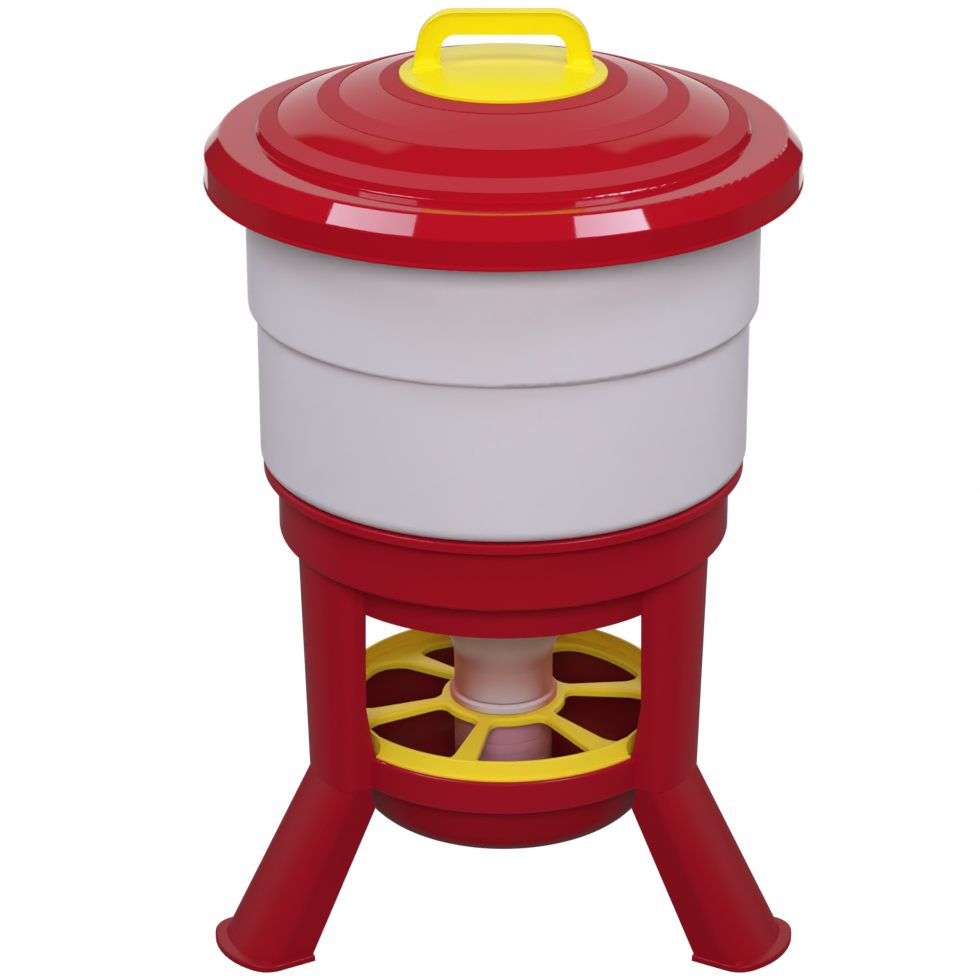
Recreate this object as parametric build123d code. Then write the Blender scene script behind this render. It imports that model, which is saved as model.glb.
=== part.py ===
from build123d import *
from math import hypot, sqrt
import os

# Poultry tower feeder on three splayed legs, in millimetres, +Z up, standing on z = 0.
# Everything is drawn about the feeder's own axis, with the front towards -Y. The whole
# is then set back so that the origin lies under the middle of its outline.

# Overall and shared
overall_height = 699.0
lid_radius = 216.6
foot_reach = 243.5
axis_setback = (lid_radius - foot_reach) / 2
sliding_gap = 0.3
tiny = 0.02
column_bearings = {"front_left": -150, "front_right": -30, "rear": 90}

# Hopper, blow moulded in one with its funnel and spout
hopper_wall = 2.2
hopper_radius = 187.1
hopper_rim_height = 610.2
rim_bead_radius = 1.7
shoulder_height = 482.3
shoulder_drop = 1.6
drum_radius = 180.8
spigot_radius = 164.0
spigot_bottom = 335.0
spout_radius = 37.6
spout_bend = 46.0
spout_top = 212.0
spout_end = 107.6
spout_collar_radius = 41.2
spout_collar_height = 7.2
trim_pitch = 9.0
trim_lines = 3
trim_depth = 0.5

# Lid
lid_wall = 2.5
lid_dome_radius = 410.0
lid_dome_top = 658.5
lid_dome_edge = 175.8
lid_groove = (177.4, 612.9)
lid_brow = (204.1, 612.4)
lid_corner = (215.6, 598.4)
lid_hem_height = 577.3
lid_hem_bead = 0.85
lid_hem_edge = 0.7
grip_bands = [(74.8, 89.1), (118.1, 133.5), (162.3, 175.8)]
grip_band_lift = 0.5
lid_rib = (181.6, 183.6)
lid_rib_bottom = 600.0

# Handle of the lid
handle_disc_radius = 74.6
handle_disc_wall = 2.4
handle_depth = 12.0
handle_edge = 0.8
handle_root = 3.0
handle_top_half = 57.0
handle_foot_half = 65.8
handle_bar = 17.2
handle_gap_top_half = 43.3
handle_gap_foot_half = 46.2
handle_foot_height = 654.0
handle_shoulder = 27.0
handle_gap_corner = 10.0
panel_depth = 1.6
panel_outer_rim = 1.1
panel_inner_rim = 2.8
panel_foot = 662.0
panel_scoop = 8.0
screw_offset = 54.5
screw_radius = 2.0
screw_length = 18.0
screw_head_radius = 4.4
screw_head_height = 2.6

# Base frame: the ring that carries the hopper, and three hollow columns
base_wall = 2.5
flange_radius = 178.9
flange_top = 361.8
flange_lip_bottom = 354.5
band_radius = 168.3
band_bottom = 305.8
throat_top_radius = 147.0
throat_bottom_radius = 145.4
throat_bottom = 274.4
throat_blend = 4.0
window_corner = 3.6
column_bottom = 127.4
column_draft = 0.0275
column_apex = 159.0
column_half_width = 33.3
column_front_curve = 73.0
column_edge = 9.0
column_back = 137.5
socket_back = 129.8
gusset_bottom = 152.9
gusset_top = 196.0

# Feed pan
pan_rim_height = 152.9
pan_rim_radius = 137.2
pan_rim_edge = 2.6
skirt_bottom_radius = 137.0
skirt_edge = 0.9
bowl_top_radius = 131.8
bowl_bottom_radius = 108.5
pan_underside = 75.0
bowl_corner = 31.2
pan_seat_radius = 133.8
pan_seat_height = pan_rim_height - 1.6
cone_radius = 58.0
cone_rise = 17.5
cone_tip_radius = 10.0

# Waste guard grid
grid_lip_radius = 133.4
grid_lip_width = 2.0
grid_top_radius = 128.2
grid_top = 165.6
grid_flange_top = 153.4
grid_wall = 2.3
grid_depth = 6.2
grid_edge = 2.6
hub_top = 161.2
hub_flat_radius = 46.5
hub_bore = 38.7
opening_inner = 47.5
opening_outer = 117.6
opening_inner_corner = 9.0
opening_outer_corner = 19.0
spoke_count = 6
spoke_hub_width = 9.2
spoke_rim_width = 21.5
spoke_bearing = -106.5
notch_floor = 125.0
notch_half_width = 33.8

# Legs
leg_wall = 2.8
leg_apex = 237.0
leg_half_width = 36.7
leg_front_curve = 59.0
leg_edge = 20.0
leg_top_inset = 0.8
leg_back_top = 120.5
leg_back_bottom = 188.0
leg_back_bend = (129.9, 109.3)
leg_back_at_column = 133.5
leg_shelf = 119.0
plug_gap = 0.3
plug_wall = 2.4
plug_top = 186.0
plug_back = 141.5
foot_flange = 4.6
foot_half_width = 42.6
foot_front_curve = 64.5
foot_corner = 20.0
foot_edge = 1.4


def section(*corners):
    """Closed (radius, height) section. A third value in a corner rounds it."""
    points = [corner[:2] for corner in corners]
    radii = [corner[2] if len(corner) > 2 else 0 for corner in corners]
    return make_face(FilletPolyline(*points, radius=radii, close=True))


def turned(face):
    """Solid of revolution of a (radius, height) face about the feeder's axis."""
    return revolve(Plane.XZ * face, Axis.Z)


def thin_turned(wall, *corners):
    """Turned wall of even thickness, laid inside an open outline drawn downwards."""
    points = [corner[:2] for corner in corners]
    radii = [corner[2] if len(corner) > 2 else 0 for corner in corners[1:-1]]
    outline = FilletPolyline(*points, radius=radii)
    return turned(make_face(offset(outline, wall, side=Side.RIGHT, closed=True)))


def at_columns(piece):
    """One copy of a piece, drawn along +X, at each column."""
    return [Rot(Z=bearing) * piece for bearing in column_bearings.values()]


def bowed_section(back, apex, half_width, front_curve, edge):
    """Flat-backed section along +X with straight sides and a gently bowed front."""
    sagitta = front_curve - sqrt(front_curve**2 - half_width**2)
    shoulder = apex - sagitta
    sides = Polyline(
        (shoulder, half_width),
        (back, half_width),
        (back, -half_width),
        (shoulder, -half_width),
    )
    front = ThreePointArc((shoulder, -half_width), (apex, 0), (shoulder, half_width))
    face = make_face(sides + front)
    return fillet(face.vertices().group_by(Axis.X)[-1], edge)


def dome_height(radius, lift=0.0):
    """Height of the lid's dome at a radius, or of a surface laid over it."""
    centre = lid_dome_top - lid_dome_radius
    return centre + sqrt((lid_dome_radius + lift) ** 2 - radius**2)


def dome_band(inner, outer, low, high):
    """Turned band between two surfaces laid over the dome, low and high."""
    def arc(lift):
        middle = (inner + outer) / 2
        return ThreePointArc(
            (inner, dome_height(inner, lift)),
            (middle, dome_height(middle, lift)),
            (outer, dome_height(outer, lift)),
        )

    ends = [
        Line((radius, dome_height(radius, low)), (radius, dome_height(radius, high)))
        for radius in (inner, outer)
    ]
    return turned(make_face([arc(low), arc(high), *ends]))


def lid():
    """Domed lid with three matt bands, a slanted brow and a deep hem."""
    dome = dome_band(0, lid_dome_edge, -lid_wall, 0)
    brow = thin_turned(
        lid_wall,
        (lid_dome_edge - 1.2, dome_height(lid_dome_edge - 1.2)),
        (lid_dome_edge, dome_height(lid_dome_edge), 1.0),
        (*lid_groove, 2.0),
        (*lid_brow, 4.0),
        (*lid_corner, 2.6),
        (lid_radius - lid_hem_bead, lid_hem_height + 4 * lid_hem_bead, 1.0),
        (lid_radius, lid_hem_height + 2 * lid_hem_bead, 1.0),
        (lid_radius, lid_hem_height),
    )
    brow = fillet(brow.edges().group_by(Axis.Z)[0], lid_hem_edge)
    bands = [dome_band(inner, outer, -grip_band_lift, grip_band_lift) for inner, outer in grip_bands]
    rib_top = lid_groove[1] - lid_wall / 2
    rib_inner, rib_outer = lid_rib
    rib = turned(
        section(
            (rib_inner, rib_top),
            (rib_outer, rib_top),
            (rib_outer, lid_rib_bottom, 0.9),
            (rib_inner, lid_rib_bottom, 0.9),
        )
    )
    screw_hole = Cylinder(screw_radius + 0.2, 2 * lid_dome_edge)
    screw_holes = [Pos(side * screw_offset, 0, lid_dome_top) * screw_hole for side in (-1, 1)]
    return dome + brow + rib + bands - screw_holes


def handle_outline(top_half, foot_half, height, corner):
    """Arch of the handle seen from the front, standing on the foot height."""
    return section(
        (-foot_half, handle_foot_height),
        (-top_half, height, corner),
        (top_half, height, corner),
        (foot_half, handle_foot_height),
    )


def lid_handle():
    """Round cover plate with an upright D handle, recessed on both faces."""
    gap_top = overall_height - handle_bar
    arch = handle_outline(handle_top_half, handle_foot_half, overall_height, handle_shoulder)
    gap = handle_outline(handle_gap_top_half, handle_gap_foot_half, gap_top, handle_gap_corner)
    grip = extrude(Plane.XZ * (arch - gap), handle_depth / 2, both=True)
    outer_edges = [
        edge
        for edge in grip.edges()
        if abs(edge.center().Y) > handle_depth / 2 - tiny and edge.center().Z > handle_foot_height + tiny
    ]
    grip = fillet(outer_edges, handle_edge)

    disc = dome_band(0, handle_disc_radius, 0, handle_disc_wall)
    below = dome_band(0, handle_disc_radius, -handle_bar, 0)
    handle = (grip - below) + disc
    handle = fillet([edge for edge in handle.edges() if lies_on_disc(edge)], handle_root)
    root = dome_height(screw_offset)
    pilot_depth = 2 * (screw_length - lid_wall + 1.5)
    pilots = [Pos(side * screw_offset, 0, root) * Cylinder(screw_radius, pilot_depth) for side in (-1, 1)]
    return handle - handle_panels(gap_top) - pilots


def lies_on_disc(edge):
    """Whether an edge runs over the top of the handle's disc, inside its rim."""
    centre = lid_dome_top - lid_dome_radius
    for share in (0.05, 0.5, 0.95):
        point = edge @ share
        from_centre = hypot(point.X, point.Y, point.Z - centre)
        if abs(from_centre - lid_dome_radius - handle_disc_wall) > tiny:
            return False
    return hypot(point.X, point.Y) < handle_disc_radius - handle_root


def handle_panels(gap_top):
    """The hollows in the handle's two faces, which run out forwards above its feet."""
    arch = handle_outline(
        handle_top_half - panel_outer_rim, handle_foot_half - panel_outer_rim,
        overall_height - panel_outer_rim, handle_shoulder - panel_outer_rim,
    )
    gap = handle_outline(
        handle_gap_top_half + panel_inner_rim, handle_gap_foot_half + panel_inner_rim,
        gap_top - panel_inner_rim, handle_gap_corner + panel_inner_rim,
    )
    floor = handle_depth / 2 - panel_depth
    run_out = section(
        (floor, overall_height),
        (floor, panel_foot, panel_scoop),
        (floor + panel_scoop, panel_foot - panel_scoop),
        (floor + panel_scoop, overall_height),
    )
    face = extrude(Plane.XZ * (arch - gap), handle_depth, both=True)
    panel = face & extrude(Plane.YZ * run_out, handle_foot_half, both=True)
    return [panel, Rot(Z=180) * panel]


def handle_screws():
    """Two self-tapping screws that come up through the lid into the handle's feet."""
    seat = dome_height(screw_offset + screw_head_radius) - lid_wall
    shank = Pos(0, 0, screw_length / 2) * Cylinder(screw_radius - 0.05, screw_length)
    head = Pos(0, 0, -screw_head_height / 2) * Cylinder(screw_head_radius, screw_head_height)
    head = fillet(head.edges().group_by(Axis.Z)[0], 1.2)
    slot = Pos(0, 0, -screw_head_height) * (Box(4.6, 1.1, 2.6) + Box(1.1, 4.6, 2.6))
    screw = shank + head - slot
    return Compound([Pos(side * screw_offset, 0, seat - 0.02) * screw for side in (-1, 1)])


def hopper():
    """Drum with a stepped wall, a steep funnel and a spout with a collar."""
    drum = thin_turned(
        hopper_wall,
        (hopper_radius, hopper_rim_height),
        (hopper_radius, shoulder_height + shoulder_drop / 2, 4.5),
        (drum_radius - 0.1, shoulder_height - shoulder_drop / 2, 1.5),
        (drum_radius, flange_top + sliding_gap, 10.0),
        (spigot_radius, flange_top + sliding_gap, 2.0),
        (spigot_radius - 1.2, spigot_bottom, 6.0),
        (spout_radius, spout_top, spout_bend),
        (spout_radius, spout_end),
    )
    rim = turned(Pos(hopper_radius + 0.4, hopper_rim_height - rim_bead_radius) * Circle(rim_bead_radius))
    collar_bottom = hub_top + sliding_gap
    collar = turned(
        section(
            (spout_radius - 1, collar_bottom),
            (spout_collar_radius, collar_bottom, 0.8),
            (spout_collar_radius, collar_bottom + spout_collar_height, 3.0),
            (spout_radius - 1, collar_bottom + spout_collar_height + 0.8),
        )
    )
    body = drum + rim + collar
    for line in range(1, trim_lines + 1):
        height = spout_end + line * trim_pitch
        groove = section(
            (spout_radius - trim_depth, height),
            (spout_radius + 1, height - 1.5 * trim_depth),
            (spout_radius + 1, height + 1.5 * trim_depth),
        )
        body -= turned(groove)
    return body


def column_envelope(inset=0.0, top=band_bottom + base_wall):
    """Outside of one column along +X, or the same drawn in by a wall's thickness."""
    def slice_at(height):
        grown = (height - column_bottom) * column_draft - inset
        face = bowed_section(
            socket_back + inset, column_apex + grown, column_half_width + grown,
            column_front_curve + grown, column_edge + grown,
        )
        return Pos(0, 0, height) * face

    shaft = loft([slice_at(column_bottom), slice_at(top)], ruled=True)
    cut = section(
        (socket_back + inset, gusset_bottom),
        (column_back + inset, gusset_top),
        (column_back + inset, top + 10),
        (socket_back - 20, top + 10),
        (socket_back - 20, gusset_bottom),
    )
    return shaft - extrude(Plane.XZ * cut, 80, both=True)


def throat_on_columns():
    """Throat and columns as one solid, rounded into each other and round the windows' top corners."""
    draft = (throat_top_radius - throat_bottom_radius) / (band_bottom - throat_bottom)
    low = throat_bottom - window_corner
    cone = turned(
        section(
            (0, low),
            (throat_bottom_radius - draft * window_corner, low),
            (throat_top_radius, band_bottom),
            (0, band_bottom),
        )
    )
    solid = cone + at_columns(column_envelope())
    joints = []
    for edge in solid.edges():
        on_throat = abs(distance_from_axis(edge @ 0.5) - throat_bottom_radius) < 2 * throat_blend
        if on_throat and low - tiny < (edge @ 0.5).Z < band_bottom and abs((edge % 0.5).Z) > 0.9:
            joints.append(edge)
    solid = fillet(joints, throat_blend)

    side = column_half_width + (throat_bottom - column_bottom) * column_draft - 0.1
    window = section(
        (side, throat_bottom, window_corner),
        (throat_top_radius, throat_bottom),
        (throat_top_radius, low - 1),
        (side, low - 1),
    )
    window = extrude(Plane.YZ * window, flange_radius)
    return solid - at_columns(window) - at_columns(mirror(window, Plane.XZ))


def base_frame():
    """Hopper ring on three hollow columns, all one moulding."""
    ring = turned(
        section(
            (0, flange_top),
            (flange_radius, flange_top, 1.6),
            (flange_radius, flange_lip_bottom, 0.8),
            (flange_radius - base_wall, flange_lip_bottom, 0.8),
            (flange_radius - base_wall, flange_top - base_wall, 0.6),
            (band_radius, flange_top - base_wall, 0.6),
            (band_radius, band_bottom, 2.4),
            (0, band_bottom),
        )
    )
    inside = turned(
        section(
            (0, throat_bottom - 2 * window_corner),
            (throat_bottom_radius - base_wall, throat_bottom - 2 * window_corner),
            (throat_bottom_radius - base_wall, throat_bottom),
            (throat_top_radius - base_wall, band_bottom + base_wall, 1.0),
            (band_radius - base_wall, band_bottom + base_wall, 1.6),
            (band_radius - base_wall, flange_top + 1),
            (0, flange_top + 1),
        )
    )
    columns = at_columns(column_envelope())
    hollows = at_columns(column_envelope(base_wall, band_bottom))
    return throat_on_columns() + ring - inside + columns - hollows


def feed_pan():
    """Round pan between the columns: a bowl with a skirt turned down all round its rim."""
    step = column_bottom
    bowl_top = pan_seat_height - base_wall
    slope = (bowl_top_radius - bowl_bottom_radius) / (bowl_top - pan_underside)
    across = base_wall * hypot(1, slope)
    floor = pan_underside + base_wall
    profile = section(
        (0, pan_underside + cone_rise),
        (cone_tip_radius, pan_underside + cone_rise, 9.0),
        (cone_radius, pan_underside, 9.0),
        (bowl_bottom_radius, pan_underside, bowl_corner),
        (bowl_top_radius, bowl_top),
        (skirt_bottom_radius - base_wall, bowl_top),
        (skirt_bottom_radius - base_wall, step),
        (skirt_bottom_radius - skirt_edge, step),
        (skirt_bottom_radius, step + skirt_edge),
        (pan_rim_radius, pan_rim_height, pan_rim_edge),
        (pan_seat_radius + skirt_edge / 2, pan_rim_height),
        (pan_seat_radius, pan_rim_height - skirt_edge / 2),
        (pan_seat_radius, pan_seat_height),
        (bowl_top_radius + slope * base_wall - across, pan_seat_height, 0.6),
        (bowl_bottom_radius + slope * base_wall - across, floor, bowl_corner - base_wall),
        (cone_radius + 1, floor, 9.0),
        (cone_tip_radius + 1, floor + cone_rise, 9.0),
        (0, floor + cone_rise),
    )
    boss_height = pan_seat_height - step
    boss_disc = Pos(0, 0, step + boss_height / 2) * Cylinder(skirt_bottom_radius - tiny, boss_height)
    behind_column = Box(base_wall, 2 * pan_rim_radius, 3 * boss_height)
    behind_column = Pos(socket_back - base_wall / 2, 0, step) * behind_column
    bosses = boss_disc & at_columns(behind_column)
    return turned(profile) + bosses - at_columns(column_envelope())


def distance_from_axis(point):
    """How far a point lies from the feeder's axis."""
    return hypot(point.X, point.Y)


def spoke_half_width(radius):
    """Half the width of a spoke at a distance from the axis: spokes widen towards the rim."""
    share = (radius - opening_inner) / (opening_outer - opening_inner)
    return (spoke_hub_width + (spoke_rim_width - spoke_hub_width) * share) / 2


def spoke_openings(margin=0.0):
    """The six feeding openings as flat shapes, or the same grown by a margin."""
    ring = Circle(opening_outer) - Circle(opening_inner)
    spoke = Polygon(
        (0, -spoke_half_width(0)),
        (notch_floor, -spoke_half_width(notch_floor)),
        (notch_floor, spoke_half_width(notch_floor)),
        (0, spoke_half_width(0)),
        align=None,
    )
    spokes = [Rot(Z=spoke_bearing + index * 360 / spoke_count) * spoke for index in range(spoke_count)]
    shapes = []
    for opening in (ring - spokes).faces():
        corners = sorted(opening.vertices(), key=distance_from_axis)
        rounded = opening.fillet_2d(opening_inner_corner, corners[:2])
        corners = sorted(rounded.vertices(), key=distance_from_axis)
        rounded = rounded.fillet_2d(opening_outer_corner, corners[-2:])
        shapes.append(offset(rounded, margin) if margin else rounded)
    return shapes


def feed_grid():
    """Waste guard: a notched rim, a raised hub and six spokes with turned-down edges."""
    seat = pan_seat_height + sliding_gap
    lean = (grid_lip_radius - grid_lip_width - grid_top_radius) / (grid_top - grid_flange_top - 1.0)
    rim_foot_height = 1.2
    rim_foot = grid_top_radius - grid_wall + lean * (grid_top - grid_flange_top - 2 * rim_foot_height)
    outside = turned(
        section(
            (0, seat),
            (grid_lip_radius - 0.5, seat),
            (grid_lip_radius, seat + 0.5),
            (grid_lip_radius, grid_flange_top + 0.2),
            (grid_lip_radius - 0.4, grid_flange_top + 0.8),
            (grid_lip_radius - grid_lip_width, grid_flange_top + 1.0),
            (grid_top_radius, grid_top, 0.9),
            (0, grid_top),
        )
    )
    inside = turned(
        section(
            (0, pan_rim_height - grid_top),
            (opening_outer + 1, pan_rim_height - grid_top),
            (opening_outer + 1, grid_flange_top),
            (rim_foot, grid_flange_top),
            (rim_foot, grid_flange_top + rim_foot_height),
            (grid_top_radius - grid_wall, grid_top),
            (grid_top_radius - grid_wall, grid_top + grid_wall),
            (0, grid_top + grid_wall),
        )
    )
    deep = 2 * (grid_top - grid_flange_top)
    reach = 2 * (grid_lip_radius - notch_floor)
    notch = Box(reach, 2 * notch_half_width, 2 * deep)
    notch = Pos(notch_floor + reach / 2, 0, grid_top) * notch
    notch_wall = Box(reach, 2 * (notch_half_width + grid_wall), deep)
    notch_wall = Pos(notch_floor - grid_wall + reach / 2, 0, grid_top) * notch_wall
    rim = (outside - at_columns(notch)) - (inside - at_columns(notch_wall))

    dished = section(
        (0, hub_top),
        (hub_flat_radius, hub_top, 6.0),
        (opening_outer, grid_flange_top, 20.0),
        (notch_floor, grid_flange_top),
        (notch_floor, grid_flange_top - grid_depth),
        (opening_outer, grid_flange_top - grid_depth, 20.0),
        (hub_flat_radius, hub_top - grid_depth, 6.0),
        (0, hub_top - grid_depth),
    )
    openings = [extrude(Pos(0, 0, pan_underside) * shape, grid_top) for shape in spoke_openings()]
    plate = turned(dished) - openings
    plate = fillet([edge for edge in plate.edges() if bounds_opening_above(edge)], grid_edge)

    hollow = Pos(0, -grid_wall) * dished
    walls = [extrude(Pos(0, 0, pan_underside) * shape, grid_top) for shape in spoke_openings(grid_wall)]
    bore = Pos(0, 0, hub_top) * Cylinder(hub_bore, hub_bore)
    bore_wall = Pos(0, 0, hub_top) * Cylinder(hub_bore + grid_wall, hub_bore)
    beyond = Cylinder(flange_radius, hub_bore) - Cylinder(notch_floor - grid_wall, hub_bore)
    beyond = Pos(0, 0, hub_top) * beyond
    underside = turned(hollow) - walls - bore_wall - beyond
    return plate - underside + rim - bore


def bounds_opening_above(edge):
    """Whether an edge is the upper edge of one of the guard's openings."""
    middle = edge @ 0.5
    radius = distance_from_axis(middle)
    if not opening_inner - tiny < radius < opening_outer + tiny or abs((edge % 0.5).Z) > 0.9:
        return False
    share = (radius - hub_flat_radius) / (opening_outer - hub_flat_radius)
    surface = hub_top + (grid_flange_top - hub_top) * share
    return middle.Z > surface - grid_wall


def leg_slice(height, inset=0.0, back_shift=0.0):
    """Section of a leg along +X at a height, or the same drawn in by a wall."""
    share = 1 - height / column_bottom

    def between(top, bottom):
        return top + (bottom - top) * share

    lean = hypot(1, (leg_apex - column_apex) / column_bottom)
    face = bowed_section(
        between(leg_back_top, leg_back_bottom) - back_shift,
        between(column_apex - leg_top_inset, leg_apex) - inset * lean,
        between(column_half_width - leg_top_inset, leg_half_width) - inset,
        between(column_front_curve - leg_top_inset, leg_front_curve) - inset,
        between(column_edge + leg_top_inset, leg_edge) - inset,
    )
    return Pos(0, 0, height) * face


def leg():
    """Splayed leg along +X: a channel open to the middle, with a foot flange and a plug."""
    shaft = loft([leg_slice(0), leg_slice(column_bottom)], ruled=True)
    channel = loft([leg_slice(0, leg_wall, 40), leg_slice(leg_shelf, leg_wall, 40)], ruled=True)

    inner_apex = column_apex - base_wall - plug_gap
    inner_half = column_half_width - base_wall - plug_gap
    curve = column_front_curve - base_wall - plug_gap
    edge = column_edge - base_wall - plug_gap
    plug_face = bowed_section(plug_back, inner_apex, inner_half, curve, edge)
    plug = extrude(Pos(0, 0, leg_shelf) * plug_face, plug_top - leg_shelf)
    plug = chamfer(plug.edges().group_by(Axis.Z)[-1], 0.8)
    core_face = bowed_section(
        plug_back - plug_wall, inner_apex - plug_wall, inner_half - plug_wall,
        curve - plug_wall, edge - plug_wall,
    )
    core = extrude(Pos(0, 0, leg_shelf) * core_face, plug_top)

    flange = bowed_section(leg_back_bottom, foot_reach, foot_half_width, foot_front_curve, foot_corner)
    foot = extrude(flange, foot_flange)
    upper_edges = foot.edges().group_by(Axis.Z)[-1]
    foot = fillet(upper_edges.filter_by(lambda edge: edge.center().X > leg_back_bottom + 1), foot_edge)
    bend_radius, bend_height = leg_back_bend
    upright = section(
        (0, bend_height / 2),
        (bend_radius, bend_height / 2),
        (bend_radius, bend_height),
        (leg_back_at_column, column_bottom),
        (0, column_bottom),
    )
    behind = extrude(Plane.XZ * upright, foot_half_width, both=True)
    return (shaft + foot - channel - behind) + plug - core


def main():
    """Write every piece to its own file, with its feeder axis set in front of the origin."""
    os.makedirs("parts", exist_ok=True)
    pieces = {
        "lid": lid(),
        "lid_handle": lid_handle(),
        "handle_screws": handle_screws(),
        "hopper": hopper(),
        "base_frame": base_frame(),
        "feed_pan": feed_pan(),
        "feed_grid": feed_grid(),
    }
    one_leg = leg()
    for place, bearing in column_bearings.items():
        pieces[f"leg_{place}"] = Rot(Z=bearing) * one_leg
    for name, piece in pieces.items():
        export_step(Pos(0, axis_setback, 0) * piece, f"parts/{name}.step")


main()
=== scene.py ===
from math import radians

import bmesh
import bpy
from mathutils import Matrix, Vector


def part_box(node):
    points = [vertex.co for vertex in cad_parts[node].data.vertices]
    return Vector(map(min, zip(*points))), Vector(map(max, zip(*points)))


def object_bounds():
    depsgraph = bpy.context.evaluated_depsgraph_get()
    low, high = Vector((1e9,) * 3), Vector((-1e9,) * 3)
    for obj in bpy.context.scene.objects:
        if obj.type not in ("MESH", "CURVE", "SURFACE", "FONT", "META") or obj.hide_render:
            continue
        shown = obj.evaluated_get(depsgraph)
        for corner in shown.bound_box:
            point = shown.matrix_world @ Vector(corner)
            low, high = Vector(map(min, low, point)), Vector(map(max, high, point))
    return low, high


bl_info = {
    "name": "Poultry tower feeder",
    "version": (1, 0, 0),
    "blender": (4, 5, 0),
    "location": "View3D > Sidebar > Feeder",
    "description": "Finishes the mouldings of a tower feeder and sets up its studio",
    "category": "Object",
}

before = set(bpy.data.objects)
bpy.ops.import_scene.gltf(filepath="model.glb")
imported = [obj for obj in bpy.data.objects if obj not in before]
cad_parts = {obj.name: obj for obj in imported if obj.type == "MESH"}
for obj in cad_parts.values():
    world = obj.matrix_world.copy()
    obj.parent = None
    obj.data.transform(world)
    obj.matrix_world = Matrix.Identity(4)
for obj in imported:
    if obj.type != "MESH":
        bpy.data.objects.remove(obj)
cad_low, cad_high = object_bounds()

# The feeder's round axis, taken from the hopper, and the floor that its legs stand on. The front faces -Y.
hopper_low, hopper_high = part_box("hopper")
AXIS = Vector(((hopper_low[0] + hopper_high[0]) / 2, (hopper_low[1] + hopper_high[1]) / 2, 0))
FLOOR = cad_low[2]

# The lid's dome is part of a sphere. Its matt bands stand proud of it, and end within the dome's edge.
DOME_RADIUS = 0.410
DOME_TOP = 0.6585
DOME_EDGE = 0.1765
BAND_LIFT = 0.0005

# Radius within which the pan's inside is painted darker as shade, the soft edge of that and how far a face
# there looks upwards.
PAN_SHADED_RADIUS = 0.131
PAN_SOFT_EDGE = 0.001
PAN_UPWARDS = (0.05, 0.20)

# Heights at which the hopper's colour changes, from the spout's end up to the funnel; below it, painted
# shade and red light.
TINT_LOW = 0.100
TUBE_HIGH = 0.155
COLLAR_LOW = 0.162
COLLAR_HIGH = 0.168
NECK_LOW = 0.186
NECK_HIGH = 0.196
FLARE = 0.214
FUNNEL = 0.290
TINT_HIGH = 0.300

# Painted light brightens the neck's colour in the flare, as a share of itself, and painted shade dims the
# collar's at its upper edge.
FLARE_PAINTED_LIGHT = 1.48
COLLAR_PAINTED_SHADE = 0.95

# How far the spout's wall is turned away from the eye where a painted red reflection reddens its sides, and
# the height where that has faded out.
SIDE_TURN = (0.05, 0.55)
SIDE_HIGH = 0.212

# Height of the bumps of the skin of a moulding, and how strongly they show.
BUMP_DEPTH = 0.0002
BUMP_STRENGTH = 0.3
LID_BUMP_STRENGTH = 0.35

# The skin's soft clouds, its fine scuffs, which run in leaning streaks, and the patches that hold them.
CLOUD_EDGES = (0.3, 0.7)
CLOUD_ROUGHNESS = 0.05
SCUFF_STRETCH = (1.0, 0.6, 14.0)
SCUFF_LEAN = (0.9, 0.4, 0.2)
SCUFF_EDGES = (0.60, 0.82)
SCUFF_PATCHES = (0.50, 0.70)
SCUFF_ROUGHNESS = 0.25
WAVE_SHARE = 0.6

# Finish of the frame and the pan, and of the legs.
BASE_ROUGHNESS = 0.21
BASE_SPECULAR = 0.32
LEG_ROUGHNESS = 0.24
LEG_SPECULAR = 0.25

# The white paper behind the feeder as glossy surfaces mirror it. Its soft edges are slopes, sideways or
# upwards for each metre behind the feeder. It is this bright straight ahead and dims upwards.
PAPER_START = 0.02
PAPER_SIDES = (0.43, 0.39)
PAPER_TOP = (1.26, 1.14)
PAPER_FOOT = (-0.47, -0.33)
PAPER_BRIGHTNESS = 0.74
PAPER_FALL = -0.26

# The rest of the room in gloss: a dim level all round, and a little more low down behind the feeder.
GLOSS_ROOM = 0.03
GLOSS_LOW = 0.07
LOW_EDGES = (0.0, -0.2)

# How strongly the room and the backdrop light the feeder. The backdrop lights most at its sides, less in
# the middle, and nothing far up or far down.
ROOM_FILL = 0.07
BACKDROP_LIGHT = 2.5
BACKDROP_EDGES = (0.06, 0.26)
BACKDROP_SIDES = (0.35, 0.70)
BACKDROP_MIDDLE = 0.22
BACKDROP_TOP = (0.90, 0.65)
BACKDROP_FOOT = (-0.30, 0.0)

# Light that the floor adds to itself for the eye alone.
FLOOR_WHITE = 0.93

# The softboxes stand off from the lid's front edge. Each dims towards its inner end by a share.
LID_FRONT = Vector((0, -0.2, 0.6))
SOFTBOX_DISTANCE = 1.3
SOFTBOX_FADE = 0.4
LEFT_WAY = Vector((-0.616, -0.209, 0.760))
LEFT_SIZE = (0.56, 0.40)
RIGHT_WAY = Vector((0.523, -0.303, 0.797))
RIGHT_SIZE = (0.46, 0.40)
COOL = (0.66, 0.81, 1.0)

# The front panel faces the feeder's middle.
PANEL_PLACE = Vector((0.05, -2.6, 1.75))
PANEL_TARGET = Vector((0, 0, 0.35))
PANEL_SIZE = (1.3, 1.2)
DAYLIGHT = (0.95, 0.97, 1.0)

# Width of the camera's sensor, in millimetres.
SENSOR_WIDTH = 36

# Numbers of a Mix node's first and second input and of its output, for each kind of data.
MIX_SOCKETS = {"FLOAT": (2, 3, 0), "RGBA": (6, 7, 2)}


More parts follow.
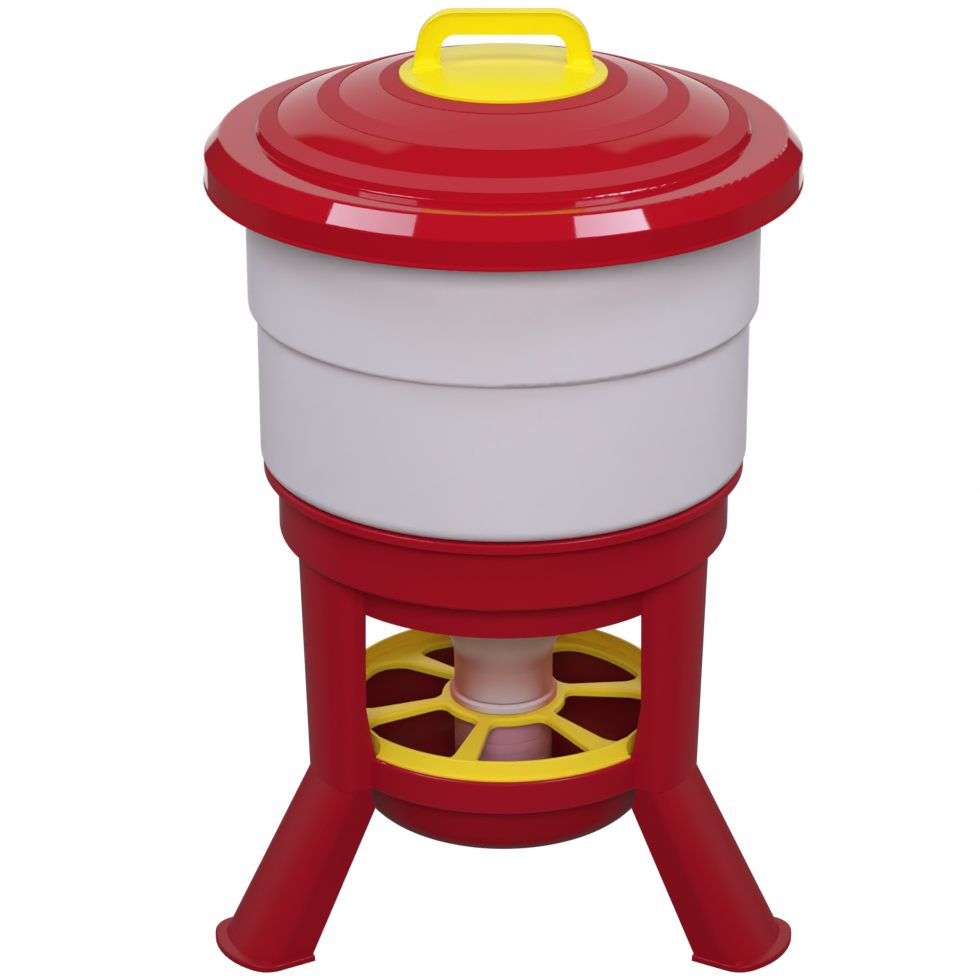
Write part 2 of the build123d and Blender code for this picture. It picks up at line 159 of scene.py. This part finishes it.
class FeederFinish(bpy.types.PropertyGroup):
    """Colours and finishes of the mouldings."""

    lid_red: bpy.props.FloatVectorProperty(
        name="Lid red",
        description="Colour of the lid's glossy plastic",
        subtype="COLOR",
        size=3,
        min=0,
        max=1,
        default=(0.388, 0.0035, 0.011),
    )
    band_red: bpy.props.FloatVectorProperty(
        name="Band red",
        description="Colour of the lid's matt bands",
        subtype="COLOR",
        size=3,
        min=0,
        max=1,
        default=(0.40, 0.010, 0.019),
    )
    base_red: bpy.props.FloatVectorProperty(
        name="Base red",
        description="Colour of the frame, the pan and the legs",
        subtype="COLOR",
        size=3,
        min=0,
        max=1,
        default=(0.385, 0.0055, 0.0155),
    )
    # Painted shade: this darker red stands in for the shade inside the bowl, not for feed.
    pan_inside_painted_shade: bpy.props.FloatVectorProperty(
        name="Pan inside",
        description="Colour of the pan's inside, dulled by feed",
        subtype="COLOR",
        size=3,
        min=0,
        max=1,
        default=(0.17, 0.009, 0.0115),
    )
    # Painted shade: the legs' deeper red stands in for the weaker light down at the floor.
    leg_red_painted_shade: bpy.props.FloatVectorProperty(
        name="Leg red",
        description="Colour of the legs, a shade deeper than the frame",
        subtype="COLOR",
        size=3,
        min=0,
        max=1,
        default=(0.315, 0.0048, 0.0125),
    )
    handle_yellow: bpy.props.FloatVectorProperty(
        name="Handle yellow",
        description="Colour of the handle",
        subtype="COLOR",
        size=3,
        min=0,
        max=1,
        default=(0.81, 0.64, 0.002),
    )
    grid_yellow: bpy.props.FloatVectorProperty(
        name="Grid yellow",
        description="Colour of the waste guard",
        subtype="COLOR",
        size=3,
        min=0,
        max=1,
        default=(0.89, 0.63, 0.028),
    )
    milk: bpy.props.FloatVectorProperty(
        name="Milky plastic",
        description="Colour of the translucent hopper",
        subtype="COLOR",
        size=3,
        min=0,
        max=1,
        default=(0.93, 0.68, 0.725),
    )
    # Painted shade and painted red light: the neck's darker, redder colour stands in for the shade and the
    # light of the reds round it.
    neck_painted_shade_and_red_light: bpy.props.FloatVectorProperty(
        name="Neck",
        description="The milky plastic of the neck, tinged by the reds round it",
        subtype="COLOR",
        size=3,
        min=0,
        max=1,
        default=(0.66, 0.37, 0.34),
    )
    # Painted shade: the collar's colour is darker than the milk, standing in for the shade down among the
    # reds.
    collar_painted_shade: bpy.props.FloatVectorProperty(
        name="Collar",
        description="The thicker plastic of the spout's collar",
        subtype="COLOR",
        size=3,
        min=0,
        max=1,
        default=(0.64, 0.57, 0.61),
    )
    # Painted shade and painted red light: the tube's colour stands in for the shade and the red light down
    # in the pan.
    tube_painted_shade_and_red_light: bpy.props.FloatVectorProperty(
        name="Tube",
        description="The thin plastic of the spout's end, down in the pan",
        subtype="COLOR",
        size=3,
        min=0,
        max=1,
        default=(0.63, 0.28, 0.34),
    )
    # Painted reflection: the reds round the spout, painted onto its sides where they turn away from the
    # eye.
    spout_painted_reflection: bpy.props.FloatVectorProperty(
        name="Spout sides",
        description="The milky plastic seen edge on, where the reds behind it show through",
        subtype="COLOR",
        size=3,
        min=0,
        max=1,
        default=(0.46, 0.135, 0.095),
    )
    zinc: bpy.props.FloatVectorProperty(
        name="Zinc",
        description="Colour of the screws' plating",
        subtype="COLOR",
        size=3,
        min=0,
        max=1,
        default=(0.62, 0.61, 0.58),
    )


class FeederStudio(bpy.types.PropertyGroup):
    """The camera and the lamps."""

    camera_distance: bpy.props.FloatProperty(
        name="Camera distance",
        description="From the feeder's axis to the camera, along the floor",
        unit="LENGTH",
        default=2.4364,
    )
    camera_height: bpy.props.FloatProperty(
        name="Camera height", description="Above the floor", unit="LENGTH", default=1.3502
    )
    camera_tilt: bpy.props.FloatProperty(
        name="Camera tilt", description="Looking down", subtype="ANGLE", default=radians(22.734)
    )
    camera_lens: bpy.props.FloatProperty(
        name="Lens", description="Focal length in millimetres on a 36 mm sensor", default=129.3
    )
    camera_shift: bpy.props.FloatProperty(
        name="Lens shift", description="Sideways shift, as a share of the frame", default=-0.01378
    )
    floor_radius: bpy.props.FloatProperty(
        name="Floor radius", description="Reach of the pale floor", unit="LENGTH", default=0.62
    )
    softbox_left_power: bpy.props.FloatProperty(
        name="Left softbox", description="Power of the softbox up on the left", unit="POWER", default=8.4
    )
    softbox_right_power: bpy.props.FloatProperty(
        name="Right softbox", description="Power of the softbox up on the right", unit="POWER", default=9.2
    )
    front_power: bpy.props.FloatProperty(
        name="Front panel", description="Power of the broad front panel", unit="POWER", default=68.0
    )


def add(tree, kind, **values):
    """A node of a tree, with its properties and the values of its inputs."""
    node = tree.nodes.new(kind)
    for key, value in values.items():
        if key in node.inputs.keys():
            node.inputs[key].default_value = value
        else:
            setattr(node, key, value)
    return node


def feed(tree, operand, socket):
    """Links another node's output to a socket, or gives it a plain value."""
    if isinstance(operand, bpy.types.NodeSocket):
        tree.links.new(operand, socket)
    else:
        socket.default_value = operand


def math_node(tree, operation, first, second=0.0, third=0.0):
    """Output of a Math node. Each operand is a number or another node's output."""
    node = add(tree, "ShaderNodeMath", operation=operation)
    for socket, operand in zip(node.inputs, (first, second, third)):
        feed(tree, operand, socket)
    return node.outputs[0]


def product(tree, first, *others):
    """Output that multiplies all its operands."""
    for other in others:
        first = math_node(tree, "MULTIPLY", first, other)
    return first


def length(tree, first, second):
    """Length of a line from its parts along two directions at right angles."""
    square = product(tree, first, first)
    return math_node(tree, "SQRT", math_node(tree, "MULTIPLY_ADD", second, second, square))


def smooth_step(tree, value, low, high):
    """Output that goes smoothly from 0 at low to 1 at high, where low may be the larger of the two."""
    node = add(tree, "ShaderNodeMapRange", interpolation_type="SMOOTHSTEP")
    tree.links.new(value, node.inputs["Value"])
    node.inputs["From Min"].default_value = low
    node.inputs["From Max"].default_value = high
    return node.outputs["Result"]


def mix_node(tree, kind, factor, first, second, **values):
    """Output of a Mix node that goes from a first value or colour to a second."""
    first_input, second_input, result = MIX_SOCKETS[kind]
    node = add(tree, "ShaderNodeMix", data_type=kind, **values)
    feed(tree, factor, node.inputs["Factor"])
    feed(tree, first, node.inputs[first_input])
    feed(tree, second, node.inputs[second_input])
    return node.outputs[result]


def split(tree, vector):
    """The three outputs of a vector: X, Y and Z."""
    node = tree.nodes.new("ShaderNodeSeparateXYZ")
    tree.links.new(vector, node.inputs[0])
    return node.outputs["X"], node.outputs["Y"], node.outputs["Z"]


def noise(tree, vector, scale, detail, roughness=0.5):
    """Level of a noise pattern at a place."""
    node = add(tree, "ShaderNodeTexNoise", Scale=scale, Detail=detail, Roughness=roughness)
    tree.links.new(vector, node.inputs["Vector"])
    return node.outputs["Fac"]


def new_group(name, inputs, outputs):
    """A shader node group with named sockets, and its two end nodes."""
    group = bpy.data.node_groups.new(name, "ShaderNodeTree")
    for label, kind, default in inputs:
        socket = group.interface.new_socket(label, in_out="INPUT", socket_type=kind)
        socket.default_value = default
    for label, kind in outputs:
        group.interface.new_socket(label, in_out="OUTPUT", socket_type=kind)
    return group, group.nodes.new("NodeGroupInput"), group.nodes.new("NodeGroupOutput")


def moulded_skin_group():
    """Skin of a moulded plastic: soft clouds, a fine texture over slow waves, and fine scuffs."""
    group, source, target = new_group(
        "moulded_skin",
        [
            ("Vector", "NodeSocketVector", (0, 0, 0)),
            ("Color", "NodeSocketColor", (0.5, 0.5, 0.5, 1)),
            ("Shade", "NodeSocketColor", (0.4, 0.4, 0.4, 1)),
            ("Roughness", "NodeSocketFloat", 0.3),
            ("Cloudiness", "NodeSocketFloat", 0.3),
            ("Scuffs", "NodeSocketFloat", 0.2),
            ("Texture", "NodeSocketFloat", 0.2),
        ],
        [("Color", "NodeSocketColor"), ("Roughness", "NodeSocketFloat"), ("Height", "NodeSocketFloat")],
    )
    place = source.outputs["Vector"]
    clouds = noise(group, place, scale=9.0, detail=3.0, roughness=0.55)
    cloud = product(group, smooth_step(group, clouds, *CLOUD_EDGES), source.outputs["Cloudiness"])
    colour = mix_node(group, "RGBA", cloud, source.outputs["Color"], source.outputs["Shade"])
    group.links.new(colour, target.inputs["Color"])

    streaks = add(group, "ShaderNodeMapping", Scale=SCUFF_STRETCH, Rotation=SCUFF_LEAN)
    group.links.new(place, streaks.inputs["Vector"])
    scratches = noise(group, streaks.outputs["Vector"], scale=55.0, detail=3.0, roughness=0.6)
    patches = noise(group, place, scale=14.0, detail=1.0)
    scuff = product(
        group,
        smooth_step(group, scratches, *SCUFF_EDGES),
        smooth_step(group, patches, *SCUFF_PATCHES),
        source.outputs["Scuffs"],
    )
    rough = math_node(group, "MULTIPLY_ADD", cloud, CLOUD_ROUGHNESS, source.outputs["Roughness"])
    rough = math_node(group, "MULTIPLY_ADD", scuff, SCUFF_ROUGHNESS, rough)
    group.links.new(rough, target.inputs["Roughness"])

    pebble = noise(group, place, scale=900.0, detail=2.0, roughness=0.6)
    waves = noise(group, place, scale=28.0, detail=1.0)
    grain = product(group, pebble, source.outputs["Texture"])
    height = math_node(group, "MULTIPLY_ADD", waves, WAVE_SHARE, grain)
    group.links.new(height, target.inputs["Height"])
    return group


def start_material(name):
    """A new material that holds a Principled shader alone, its tree and the shader."""
    material = bpy.data.materials.new(name)
    material.use_nodes = True
    tree = material.node_tree
    tree.nodes.clear()
    output = tree.nodes.new("ShaderNodeOutputMaterial")
    shader = tree.nodes.new("ShaderNodeBsdfPrincipled")
    tree.links.new(shader.outputs[0], output.inputs["Surface"])
    return material, tree, shader


def centred_position(tree):
    """Place on the piece, measured from the feeder's axis at floor level."""
    place = tree.nodes.new("ShaderNodeTexCoord")
    centre = add(tree, "ShaderNodeMapping", Location=tuple(-AXIS))
    tree.links.new(place.outputs["Object"], centre.inputs["Vector"])
    return centre.outputs["Vector"]


def place_skin(tree, place, **values):
    """The shared skin in a material, reading a place."""
    skin = tree.nodes.new("ShaderNodeGroup")
    skin.node_tree = bpy.data.node_groups.get("moulded_skin") or moulded_skin_group()
    tree.links.new(place, skin.inputs["Vector"])
    for label, value in values.items():
        skin.inputs[label].default_value = value
    return skin


def add_bump(tree, shader, height, strength=BUMP_STRENGTH):
    """Feeds a height to the shader's normal."""
    bump = add(tree, "ShaderNodeBump", Strength=strength, Distance=BUMP_DEPTH)
    tree.links.new(height, bump.inputs["Height"])
    tree.links.new(bump.outputs["Normal"], shader.inputs["Normal"])


def opaque(colour, share=1.0):
    """A colour with full alpha, scaled by a share."""
    return (colour[0] * share, colour[1] * share, colour[2] * share, 1.0)


def lid_material(finish):
    """Glossy red with three matt bands, wherever the lid stands proud of the dome's sphere."""
    material, tree, shader = start_material("lid_gloss_red")
    place = centred_position(tree)
    x, y, height = split(tree, place)
    radius = length(tree, x, y)
    above_centre = math_node(tree, "SUBTRACT", height, DOME_TOP - DOME_RADIUS)
    from_centre = length(tree, above_centre, radius)
    proud = math_node(tree, "GREATER_THAN", from_centre, DOME_RADIUS + BAND_LIFT / 2)
    band = product(tree, proud, math_node(tree, "LESS_THAN", radius, DOME_EDGE))

    gloss = place_skin(
        tree, place, Color=opaque(finish.lid_red), Shade=opaque(finish.lid_red, 0.9),
        Roughness=0.035, Cloudiness=0.25, Scuffs=0.25, Texture=0.0,
    )
    matt = place_skin(
        tree, place, Color=opaque(finish.band_red), Shade=opaque(finish.band_red, 0.94),
        Roughness=0.60, Cloudiness=0.3, Scuffs=0.1, Texture=1.0,
    )
    colour, roughness, relief = (
        mix_node(tree, kind, band, gloss.outputs[label], matt.outputs[label])
        for label, kind in (("Color", "RGBA"), ("Roughness", "FLOAT"), ("Height", "FLOAT"))
    )
    tree.links.new(colour, shader.inputs["Base Color"])
    tree.links.new(roughness, shader.inputs["Roughness"])
    add_bump(tree, shader, relief, LID_BUMP_STRENGTH)
    return material


def plain_moulding(name, colour, roughness, specular, texture=0.25, scuffs=0.15):
    """A single colour of moulded plastic with the shared skin."""
    material, tree, shader = start_material(name)
    skin = place_skin(
        tree, centred_position(tree), Color=opaque(colour), Shade=opaque(colour, 0.88),
        Roughness=roughness, Cloudiness=0.35, Scuffs=scuffs, Texture=texture,
    )
    tree.links.new(skin.outputs["Color"], shader.inputs["Base Color"])
    tree.links.new(skin.outputs["Roughness"], shader.inputs["Roughness"])
    shader.inputs["Specular IOR Level"].default_value = specular
    add_bump(tree, shader, skin.outputs["Height"])
    return material


def pan_material(finish):
    """The frame's red outside, and a darker red painted as shade where the bowl is open upwards."""
    material = plain_moulding("pan_red", finish.base_red, BASE_ROUGHNESS, BASE_SPECULAR)
    tree = material.node_tree
    base_colour = tree.nodes["Principled BSDF"].inputs["Base Color"]
    outside = base_colour.links[0].from_socket
    x, y, _ = split(tree, centred_position(tree))
    _, _, upwards = split(tree, tree.nodes.new("ShaderNodeTexCoord").outputs["Normal"])
    # Painted shade: upward faces inside the bowl take the darker red.
    inside = product(
        tree,
        smooth_step(tree, upwards, *PAN_UPWARDS),
        smooth_step(tree, length(tree, x, y), PAN_SHADED_RADIUS, PAN_SHADED_RADIUS - PAN_SOFT_EDGE),
    )
    colour = mix_node(tree, "RGBA", inside, outside, opaque(finish.pan_inside_painted_shade))
    tree.links.new(colour, base_colour)
    return material


def hopper_colour_with_painted_light(tree, finish, height):
    """The hopper's colour at a height: its milk up in the funnel, and below that painted shade and painted
    red light from the reds round the spout.
    """
    along = add(tree, "ShaderNodeMapRange")
    tree.links.new(height, along.inputs["Value"])
    along.inputs["From Min"].default_value = TINT_LOW
    along.inputs["From Max"].default_value = TINT_HIGH
    tint = tree.nodes.new("ShaderNodeValToRGB")
    tree.links.new(along.outputs["Result"], tint.inputs["Fac"])
    # Below the funnel, each stop holds painted shade and painted red light.
    stops = (
        (TUBE_HIGH, opaque(finish.tube_painted_shade_and_red_light)),
        (COLLAR_LOW, opaque(finish.collar_painted_shade)),
        (COLLAR_HIGH, opaque(finish.collar_painted_shade, COLLAR_PAINTED_SHADE)),
        (NECK_LOW, opaque(finish.neck_painted_shade_and_red_light)),
        (NECK_HIGH, opaque(finish.neck_painted_shade_and_red_light)),
        (FLARE, opaque(finish.neck_painted_shade_and_red_light, FLARE_PAINTED_LIGHT)),
        (FUNNEL, opaque(finish.milk)),
    )
    ramp = tint.color_ramp
    while len(ramp.elements) < len(stops):
        ramp.elements.new(1.0)
    for element, (level, colour) in zip(ramp.elements, stops):
        element.position = (level - TINT_LOW) / (TINT_HIGH - TINT_LOW)
        element.color = colour
    return tint.outputs["Color"]


def milky_material(finish):
    """Milky polyethylene that scatters light. A painted red reflection makes the spout's sides redder than
    its front.
    """
    material, tree, shader = start_material("hopper_milky")
    place = centred_position(tree)
    _, _, height = split(tree, place)
    tint = hopper_colour_with_painted_light(tree, finish, height)
    shade = mix_node(tree, "RGBA", 1.0, tint, (0.96, 0.96, 0.96, 1), blend_type="MULTIPLY")
    skin = place_skin(tree, place, Roughness=0.36, Cloudiness=0.5, Scuffs=0.2, Texture=0.35)
    tree.links.new(tint, skin.inputs["Color"])
    tree.links.new(shade, skin.inputs["Shade"])

    # Painted reflection: the spout's sides take a red colour by how far they turn from the eye.
    turned = add(tree, "ShaderNodeLayerWeight", Blend=0.5)
    painted_reflection = product(
        tree,
        smooth_step(tree, turned.outputs["Facing"], *SIDE_TURN),
        smooth_step(tree, height, SIDE_HIGH, NECK_HIGH),
    )
    colour = mix_node(tree, "RGBA", painted_reflection, skin.outputs["Color"], opaque(finish.spout_painted_reflection))
    tree.links.new(colour, shader.inputs["Base Color"])
    tree.links.new(skin.outputs["Roughness"], shader.inputs["Roughness"])
    shader.inputs["Specular IOR Level"].default_value = 0.4
    shader.inputs["Subsurface Weight"].default_value = 1.0
    shader.inputs["Subsurface Radius"].default_value = (1.0, 0.8, 0.85)
    shader.inputs["Subsurface Scale"].default_value = 0.008
    add_bump(tree, shader, skin.outputs["Height"])
    return material


def dress(material, *nodes):
    """Gives CAD nodes a material in place of the plain one they came with."""
    for name in nodes:
        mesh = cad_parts[name].data
        mesh.materials.clear()
        mesh.materials.append(material)


def fade_lamp(data, fade):
    """Dims a lamp by a share towards one end of its width, or towards the other where it is negative."""
    data.use_nodes = True
    tree = data.node_tree
    across, _, _ = split(tree, tree.nodes.new("ShaderNodeNewGeometry").outputs["Parametric"])
    if fade < 0:
        across = math_node(tree, "SUBTRACT", 1.0, across)
    level = math_node(tree, "MULTIPLY_ADD", across, -abs(fade), 1.0)
    tree.links.new(level, tree.nodes["Emission"].inputs["Strength"])


def add_lamp(name, place, target, size, power, colour, in_gloss=True, fade=0.0):
    """An area lamp at a place that faces a target."""
    data = bpy.data.lights.new(name, "AREA")
    data.shape = "RECTANGLE"
    data.size, data.size_y = size
    data.energy = power
    data.color = colour
    if fade:
        fade_lamp(data, fade)
    lamp = bpy.data.objects.new(name, data)
    lamp.location = place
    lamp.rotation_euler = (target - place).to_track_quat("-Z", "Y").to_euler()
    lamp.visible_camera = False
    lamp.visible_glossy = in_gloss
    bpy.context.scene.collection.objects.link(lamp)


def add_lamps(studio):
    """Two softboxes up at the left and right of the lid, and a broad panel that gloss doesn't mirror."""
    lid_front = AXIS + LID_FRONT
    softboxes = (
        ("softbox_left", LEFT_WAY, LEFT_SIZE, studio.softbox_left_power, SOFTBOX_FADE),
        ("softbox_right", RIGHT_WAY, RIGHT_SIZE, studio.softbox_right_power, -SOFTBOX_FADE),
    )
    for name, way, size, power, fade in softboxes:
        add_lamp(name, lid_front + way * SOFTBOX_DISTANCE, lid_front, size, power, COOL, fade=fade)
    front = AXIS + PANEL_PLACE
    middle = AXIS + PANEL_TARGET
    add_lamp("front_panel", front, middle, PANEL_SIZE, studio.front_power, DAYLIGHT, in_gloss=False)


def seen_straight(tree):
    """Whether the eye looks at a surface directly or through a clear one."""
    rays = tree.nodes.new("ShaderNodeLightPath")
    return math_node(tree, "MAXIMUM", rays.outputs["Is Camera Ray"], rays.outputs["Is Transmission Ray"])


def backdrop_in_gloss(tree, x, y, z):
    """Brightness of the paper and the dim room in a direction, as glossy surfaces mirror them."""
    sideways = math_node(tree, "ABSOLUTE", math_node(tree, "DIVIDE", x, y))
    upwards = math_node(tree, "DIVIDE", z, y)
    paper = product(
        tree,
        math_node(tree, "GREATER_THAN", y, PAPER_START),
        smooth_step(tree, sideways, *PAPER_SIDES),
        smooth_step(tree, upwards, *PAPER_TOP),
        smooth_step(tree, upwards, *PAPER_FOOT),
    )
    brightness = math_node(tree, "MULTIPLY_ADD", upwards, PAPER_FALL, PAPER_BRIGHTNESS)
    low = product(tree, smooth_step(tree, y, *BACKDROP_EDGES), smooth_step(tree, z, *LOW_EDGES))
    room = math_node(tree, "MULTIPLY_ADD", low, GLOSS_LOW, GLOSS_ROOM)
    return math_node(tree, "MULTIPLY_ADD", paper, brightness, room)


def backdrop_light(tree, x, y, z):
    """Light from a direction on the feeder, from the room and from the backdrop behind it."""
    sides = smooth_step(tree, math_node(tree, "ABSOLUTE", x), *BACKDROP_SIDES)
    backdrop = product(
        tree,
        smooth_step(tree, y, *BACKDROP_EDGES),
        math_node(tree, "MULTIPLY_ADD", sides, 1.0 - BACKDROP_MIDDLE, BACKDROP_MIDDLE),
        smooth_step(tree, z, *BACKDROP_TOP),
        smooth_step(tree, z, *BACKDROP_FOOT),
    )
    return math_node(tree, "MULTIPLY_ADD", backdrop, BACKDROP_LIGHT, ROOM_FILL)


def studio_world():
    """White to the eye, paper in a dim room to glossy surfaces, and a soft light on everything else."""
    world = bpy.data.worlds.new("studio")
    world.use_nodes = True
    tree = world.node_tree
    tree.nodes.clear()
    output = tree.nodes.new("ShaderNodeOutputWorld")
    background = add(tree, "ShaderNodeBackground", Color=(1, 1, 1, 1))
    tree.links.new(background.outputs[0], output.inputs["Surface"])

    direction = split(tree, tree.nodes.new("ShaderNodeTexCoord").outputs["Generated"])
    straight = seen_straight(tree)
    glossy = tree.nodes.new("ShaderNodeLightPath").outputs["Is Glossy Ray"]
    mirrored = product(tree, glossy, backdrop_in_gloss(tree, *direction))
    shown = math_node(tree, "ADD", mirrored, straight)
    lighting = math_node(tree, "SUBTRACT", 1.0, math_node(tree, "MAXIMUM", glossy, straight))
    strength = math_node(tree, "MULTIPLY_ADD", lighting, backdrop_light(tree, *direction), shown)
    tree.links.new(strength, background.inputs["Strength"])
    return world


def floor_material():
    """Pale floor that reads white to the eye but keeps the feeder's shadow."""
    material, tree, shader = start_material("studio_floor")
    place = tree.nodes.new("ShaderNodeTexCoord").outputs["Object"]
    ramp = add(tree, "ShaderNodeValToRGB")
    ramp.color_ramp.elements[0].color = (0.20, 0.20, 0.21, 1)
    ramp.color_ramp.elements[1].color = (0.24, 0.24, 0.25, 1)
    tree.links.new(noise(tree, place, scale=3.0, detail=2.0), ramp.inputs["Fac"])
    tree.links.new(ramp.outputs["Color"], shader.inputs["Base Color"])
    shader.inputs["Roughness"].default_value = 0.9
    shader.inputs["Specular IOR Level"].default_value = 0.0

    white = add(tree, "ShaderNodeEmission", Color=(1, 1, 1, 1))
    tree.links.new(product(tree, seen_straight(tree), FLOOR_WHITE), white.inputs["Strength"])
    both = tree.nodes.new("ShaderNodeAddShader")
    tree.links.new(shader.outputs[0], both.inputs[0])
    tree.links.new(white.outputs[0], both.inputs[1])
    tree.links.new(both.outputs[0], tree.nodes["Material Output"].inputs["Surface"])
    return material


def add_floor(radius):
    """A round floor under the feeder, which gloss doesn't mirror."""
    disc = bmesh.new()
    bmesh.ops.create_circle(disc, cap_ends=True, segments=96, radius=radius)
    bmesh.ops.translate(disc, verts=disc.verts, vec=(0, 0, FLOOR))
    mesh = bpy.data.meshes.new("floor")
    disc.to_mesh(mesh)
    disc.free()
    mesh.materials.append(floor_material())
    floor = bpy.data.objects.new("floor", mesh)
    floor.visible_glossy = False
    bpy.context.scene.collection.objects.link(floor)


def add_camera(studio):
    """The camera in front of the feeder, looking down at it."""
    lens = bpy.data.cameras.new("camera")
    lens.lens = studio.camera_lens
    lens.sensor_width = SENSOR_WIDTH
    lens.shift_x = studio.camera_shift
    camera = bpy.data.objects.new("camera", lens)
    camera.location = AXIS + Vector((0, -studio.camera_distance, studio.camera_height))
    camera.rotation_euler = (radians(90) - studio.camera_tilt, 0, 0)
    bpy.context.scene.collection.objects.link(camera)
    bpy.context.scene.camera = camera


class FeederOperator:
    """What every operator of the feeder shares."""

    bl_options = {"REGISTER", "UNDO"}

    @property
    def finish(self):
        """The colours of the mouldings."""
        return bpy.context.scene.feeder_finish


class FEEDER_OT_stage(FeederOperator, bpy.types.Operator):
    """Set up the pale floor, the lamps and the camera"""

    bl_idname = "feeder.stage"
    bl_label = "Studio"

    def execute(self, context):
        studio = context.scene.feeder_studio
        add_floor(studio.floor_radius)
        context.scene.world = studio_world()
        add_lamps(studio)
        add_camera(studio)
        context.scene.view_settings.view_transform = "Standard"
        return {"FINISHED"}


class FEEDER_OT_lid(FeederOperator, bpy.types.Operator):
    """Finish the lid in glossy red with its three matt bands"""

    bl_idname = "feeder.lid"
    bl_label = "Lid"

    def execute(self, context):
        dress(lid_material(self.finish), "lid")
        return {"FINISHED"}


class FEEDER_OT_handle(FeederOperator, bpy.types.Operator):
    """Finish the handle in satin yellow and its screws in zinc"""

    bl_idname = "feeder.handle"
    bl_label = "Handle and screws"

    def execute(self, context):
        yellow = plain_moulding("handle_yellow", self.finish.handle_yellow, roughness=0.30, specular=0.4)
        dress(yellow, "lid_handle")
        zinc = plain_moulding(
            "screw_zinc", self.finish.zinc, roughness=0.32, specular=0.5, texture=0.1, scuffs=0.8
        )
        zinc.node_tree.nodes["Principled BSDF"].inputs["Metallic"].default_value = 1.0
        dress(zinc, "handle_screws")
        return {"FINISHED"}


class FEEDER_OT_hopper(FeederOperator, bpy.types.Operator):
    """Finish the hopper in milky plastic"""

    bl_idname = "feeder.hopper"
    bl_label = "Hopper"

    def execute(self, context):
        dress(milky_material(self.finish), "hopper")
        return {"FINISHED"}


class FEEDER_OT_base(FeederOperator, bpy.types.Operator):
    """Finish the frame, the pan and the legs in satin red"""

    bl_idname = "feeder.base"
    bl_label = "Frame, pan and legs"

    def execute(self, context):
        dress(plain_moulding("base_red", self.finish.base_red, BASE_ROUGHNESS, BASE_SPECULAR), "base_frame")
        dress(pan_material(self.finish), "feed_pan")
        # Painted shade: the legs take a deeper red than the frame.
        legs = plain_moulding("leg_red_painted_shade", self.finish.leg_red_painted_shade, LEG_ROUGHNESS, LEG_SPECULAR)
        dress(legs, "leg_front_left", "leg_front_right", "leg_rear")
        return {"FINISHED"}


class FEEDER_OT_grid(FeederOperator, bpy.types.Operator):
    """Finish the waste guard in satin yellow"""

    bl_idname = "feeder.grid"
    bl_label = "Waste guard"

    def execute(self, context):
        yellow = plain_moulding("grid_yellow", self.finish.grid_yellow, roughness=0.26, specular=0.4)
        dress(yellow, "feed_grid")
        return {"FINISHED"}


class FEEDER_PT_panel(bpy.types.Panel):
    """Lists the steps that finish the feeder"""

    bl_label = "Tower feeder"
    bl_idname = "FEEDER_PT_panel"
    bl_space_type = "VIEW_3D"
    bl_region_type = "UI"
    bl_category = "Feeder"

    def draw(self, context):
        for step in STEPS:
            self.layout.operator(step.bl_idname)
        for group in (context.scene.feeder_finish, context.scene.feeder_studio):
            for key in group.bl_rna.properties.keys():
                if key not in ("rna_type", "name"):
                    self.layout.prop(group, key)


STEPS = (FEEDER_OT_stage, FEEDER_OT_lid, FEEDER_OT_handle, FEEDER_OT_hopper, FEEDER_OT_base, FEEDER_OT_grid)
CLASSES = (FeederFinish, FeederStudio, *STEPS, FEEDER_PT_panel)


def register():
    for item in CLASSES:
        bpy.utils.register_class(item)
    bpy.types.Scene.feeder_finish = bpy.props.PointerProperty(type=FeederFinish)
    bpy.types.Scene.feeder_studio = bpy.props.PointerProperty(type=FeederStudio)


def unregister():
    del bpy.types.Scene.feeder_studio
    del bpy.types.Scene.feeder_finish
    for item in reversed(CLASSES):
        bpy.utils.unregister_class(item)


def main():
    """Registers the add-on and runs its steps."""
    register()
    bpy.ops.feeder.stage()
    bpy.ops.feeder.lid()
    bpy.ops.feeder.handle()
    bpy.ops.feeder.hopper()
    bpy.ops.feeder.base()
    bpy.ops.feeder.grid()


if __name__ == "__main__":
    main()
